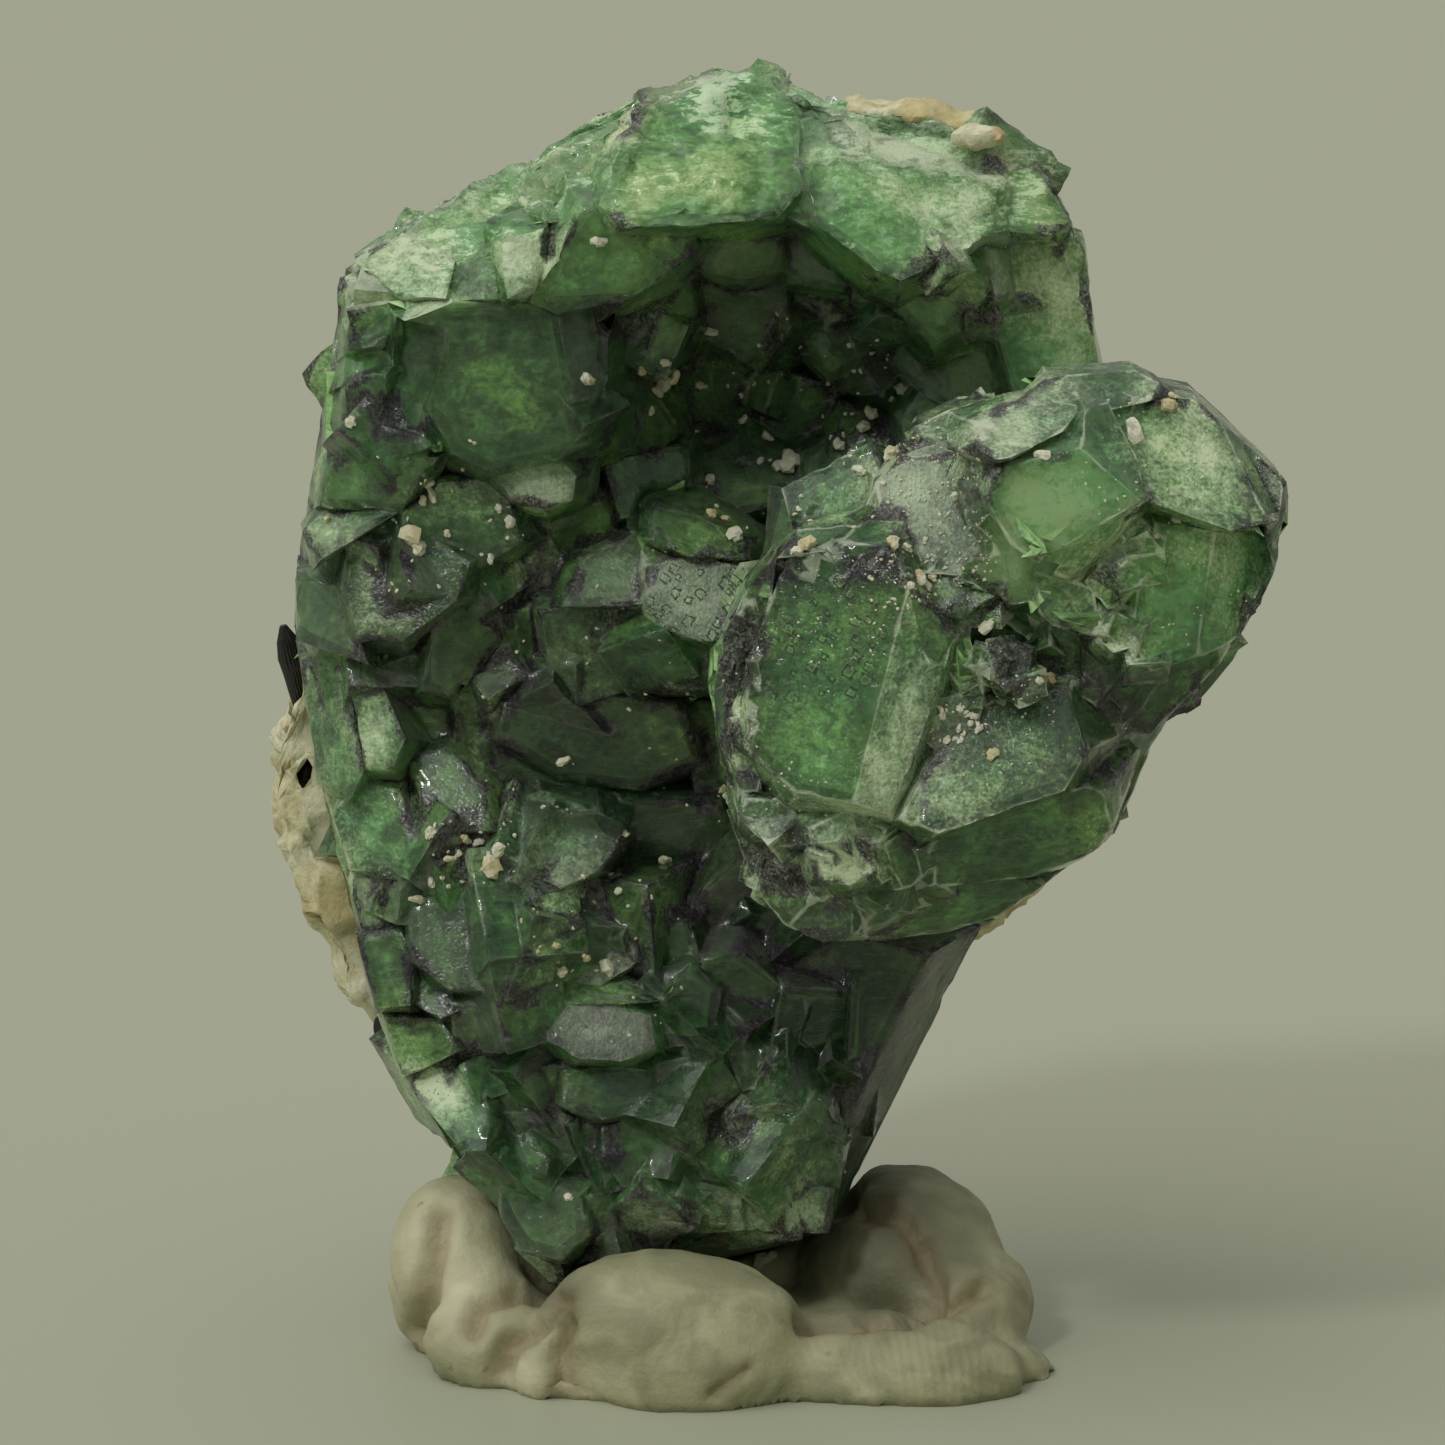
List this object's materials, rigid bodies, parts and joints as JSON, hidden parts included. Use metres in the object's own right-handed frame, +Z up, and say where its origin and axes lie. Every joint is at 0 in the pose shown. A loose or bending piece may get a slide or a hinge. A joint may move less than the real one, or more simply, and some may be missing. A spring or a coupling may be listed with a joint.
{
  "type": "fluorite specimen with schorl",
  "caption": "Green phantom fluorite cluster with purple-rimmed crystals, on a cream feldspar crust with black schorl, standing upright in a pressed lump of mounting putty.",
  "frame": {"origin": "middle of the putty's flat underside, on the surface that the object stands on", "axes": "+Z up, +X to the right as seen from the front, -Y towards the viewer, out of the face that carries the cluster"},
  "size_m": [0.0427, 0.0362, 0.0545],
  "materials": {
    "fluorite": "translucent green crystal with glassy to frosted faces and purple-black edges",
    "feldspar": "dull cream, with rust stains",
    "schorl": "shiny black, striped lengthways",
    "putty": "matte grey-beige, with fingerprints and folds"
  },
  "bodies": {
    "root": {"fluorite": "fluorite", "feldspar_crust": "feldspar", "schorl_left_edge": "schorl", "schorl_left_stub": "schorl", "schorl_lower_stub": "schorl", "schorl_back_long": "schorl", "schorl_back_middle": "schorl", "schorl_back_low": "schorl", "schorl_back_top": "schorl", "schorl_back_side": "schorl", "schorl_back_foot": "schorl", "mounting_putty": "putty"}
  },
  "joints": []
}
